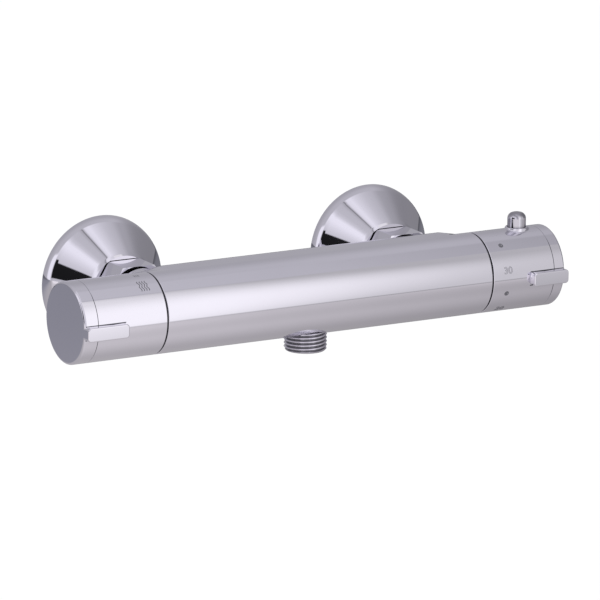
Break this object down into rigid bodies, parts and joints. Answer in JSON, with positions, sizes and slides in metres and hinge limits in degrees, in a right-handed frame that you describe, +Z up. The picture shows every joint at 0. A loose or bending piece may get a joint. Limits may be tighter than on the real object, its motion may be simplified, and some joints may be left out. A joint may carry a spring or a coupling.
{
  "type": "thermostatic shower valve",
  "caption": "Exposed thermostatic bar valve that mixes hot and cold water to a set temperature and feeds a shower hose below, with flow and temperature handles at its ends.",
  "frame": {"origin": "on the wall plane, midway between the two inlets, at the height of the bar's axis", "axes": "+X along the bar towards the temperature handle, +Y into the wall, +Z up"},
  "size_m": [0.2667, 0.1084, 0.0644],
  "materials": {
    "chrome": "polished chrome plate",
    "brass": "turned brass",
    "steel": "plain stainless steel",
    "ceramic": null,
    "polymer": "moulded acetal",
    "glide": "dark moulded acetal",
    "seal": "black rubber",
    "copper": "copper shell"
  },
  "bodies": {
    "valve": {"valve_body": "chrome", "outlet_nipple": "chrome", "outlet_gasket": "seal", "hot_inlet_tail": "chrome", "cold_inlet_tail": "chrome", "hot_union_nut": "chrome", "cold_union_nut": "chrome", "hot_filter_washer": "seal", "cold_filter_washer": "seal", "hot_filter_screen": "steel", "cold_filter_screen": "steel", "hot_s_union": "chrome", "cold_s_union": "chrome", "hot_wall_cover": "chrome", "cold_wall_cover": "chrome", "hot_check_housing": "polymer", "cold_check_housing": "polymer", "hot_check_spring": "steel", "cold_check_spring": "steel", "headwork": "brass", "headwork_gasket": "seal", "disc_seal": "seal", "fixed_disc": "ceramic", "flow_spindle_oring": "seal", "flow_glide_ring": "glide", "cartridge_end": "polymer", "cartridge_housing": "polymer", "cartridge_orings": "seal", "cartridge_nut": "brass", "return_spring": "steel", "setting_spindle_oring": "seal", "stop_ring": "polymer", "temp_glide_ring": "glide"},
    "flow_handle": {"flow_handle": "chrome", "flow_cap": "chrome", "flow_screw": "steel", "flow_adapter": "polymer", "flow_spindle": "brass", "flow_spindle_clip": "steel", "moving_disc": "ceramic"},
    "temp_handle": {"temp_handle": "chrome", "temp_cap": "chrome", "temp_screw": "steel", "temp_adapter": "polymer", "setting_spindle": "brass", "setting_spindle_clip": "steel", "button_spring": "steel"},
    "setting_nut": {"setting_nut": "polymer", "overload_cup": "polymer", "overload_spring": "steel", "overload_clip": "steel", "wax_piston": "steel"},
    "shuttle": {"shuttle": "polymer", "shuttle_seal": "seal", "wax_element": "copper"},
    "button": {"safety_button": "chrome", "button_stem": "steel"},
    "hot_poppet": {"hot_check_poppet": "glide"},
    "cold_poppet": {"cold_check_poppet": "glide"}
  },
  "joints": [
    {"name": "flow_turn", "type": "hinge", "parent": "valve", "child": "flow_handle", "pos_m": [-0.105, -0.0706, 0], "axis": [1, 0, 0], "range_deg": [0, 90]},
    {"name": "temp_turn", "type": "hinge", "parent": "valve", "child": "temp_handle", "pos_m": [0.115, -0.0706, 0], "axis": [1, 0, 0], "range_deg": [-80, 77]},
    {"name": "setting_slide", "type": "slide", "parent": "valve", "child": "setting_nut", "axis": [1, 0, 0], "range_m": [-0.0007, 0.0007], "deforming": ["return_spring"]},
    {"name": "wax_stroke", "type": "slide", "parent": "setting_nut", "child": "shuttle", "axis": [1, 0, 0], "range_m": [-0.0003, 0.0003], "stiffness_N_per_m": 4000},
    {"name": "button_press", "type": "slide", "parent": "temp_handle", "child": "button", "axis": [0, 0, -1], "range_m": [0, 0.0023], "stiffness_N_per_m": 600, "springref_m": -0.003, "deforming": ["button_spring"]},
    {"name": "hot_check_open", "type": "slide", "parent": "valve", "child": "hot_poppet", "axis": [0, -1, 0], "range_m": [0, 0.003], "stiffness_N_per_m": 60, "springref_m": -0.002, "deforming": ["hot_check_spring"]},
    {"name": "cold_check_open", "type": "slide", "parent": "valve", "child": "cold_poppet", "axis": [0, -1, 0], "range_m": [0, 0.003], "stiffness_N_per_m": 60, "springref_m": -0.002, "deforming": ["cold_check_spring"]}
  ],
  "couplings": [
    {"joint": "setting_slide", "follows": "temp_turn", "m_per_rad": 0.00047746}
  ]
}
